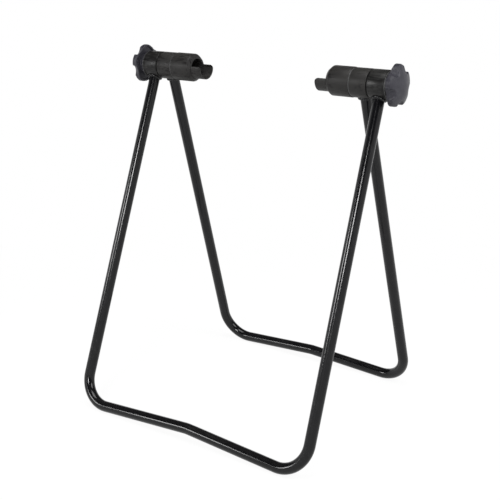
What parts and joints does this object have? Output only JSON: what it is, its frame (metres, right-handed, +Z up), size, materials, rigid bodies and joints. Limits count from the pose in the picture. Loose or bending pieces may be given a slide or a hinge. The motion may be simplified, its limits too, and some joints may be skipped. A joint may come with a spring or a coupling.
{
  "type": "bike repair stand",
  "caption": "Folding stand that holds a bicycle by its wheel hub: two hinged bent-tube frames, open hub cups and clamping star knobs.",
  "frame": {"origin": "on the floor, under the middle of the stand's bounding box", "axes": "+X along the hub axis to the right, +Y towards the rear (narrow) frame, +Z up"},
  "size_m": [0.358, 0.2784, 0.4128],
  "materials": {
    "frame_enamel": "gloss black enamel on steel tube",
    "collar_enamel": "satin black enamel on steel",
    "cup_plastic": "moulded black nylon, fine matt texture",
    "knob_plastic": "moulded dark grey-blue plastic, satin",
    "bush_nylon": "turned black nylon",
    "disc_fibre": "pressed fibre",
    "zinc_steel": "bright zinc plate",
    "insert_brass": "machined"
  },
  "bodies": {
    "front_frame": {"front_frame_tube": "frame_enamel", "front_welds": "frame_enamel", "front_collar_left": "collar_enamel", "front_collar_right": "collar_enamel", "front_bush_left": "bush_nylon", "front_bush_right": "bush_nylon", "knob_washer_left": "zinc_steel", "knob_washer_right": "zinc_steel"},
    "rear_frame": {"rear_frame_tube": "frame_enamel", "rear_welds": "frame_enamel", "rear_collar_left": "collar_enamel", "rear_collar_right": "collar_enamel", "rear_bush_left": "bush_nylon", "rear_bush_right": "bush_nylon", "friction_disc_left": "disc_fibre", "friction_disc_right": "disc_fibre"},
    "left_cup": {"hub_cup_left": "cup_plastic", "cup_bolt_left": "zinc_steel", "bolt_washer_left": "zinc_steel"},
    "right_cup": {"hub_cup_right": "cup_plastic", "cup_bolt_right": "zinc_steel", "bolt_washer_right": "zinc_steel"},
    "left_knob": {"knob_left": "knob_plastic", "knob_insert_left": "insert_brass"},
    "right_knob": {"knob_right": "knob_plastic", "knob_insert_right": "insert_brass"}
  },
  "joints": [
    {"name": "frame_fold", "type": "hinge", "parent": "front_frame", "child": "rear_frame", "pos_m": [0, 0.02289, 0.39], "axis": [-1, 0, 0], "range_deg": [0, 38.1]},
    {"name": "left_knob_turn", "type": "hinge", "parent": "front_frame", "child": "left_knob", "pos_m": [-0.17, 0.02289, 0.39], "axis": [-1, 0, 0], "range_deg": [0, 1037]},
    {"name": "right_knob_turn", "type": "hinge", "parent": "front_frame", "child": "right_knob", "pos_m": [0.17, 0.02289, 0.39], "axis": [1, 0, 0], "range_deg": [0, 1037]},
    {"name": "left_cup_slide", "type": "slide", "parent": "front_frame", "child": "left_cup", "axis": [1, 0, 0], "range_m": [0, 0.0036]},
    {"name": "right_cup_slide", "type": "slide", "parent": "front_frame", "child": "right_cup", "axis": [-1, 0, 0], "range_m": [0, 0.0036]}
  ],
  "couplings": [
    {"joint": "left_knob_turn", "follows": "left_cup_slide", "rad_per_m": 5026.5},
    {"joint": "right_knob_turn", "follows": "right_cup_slide", "rad_per_m": 5026.5}
  ]
}
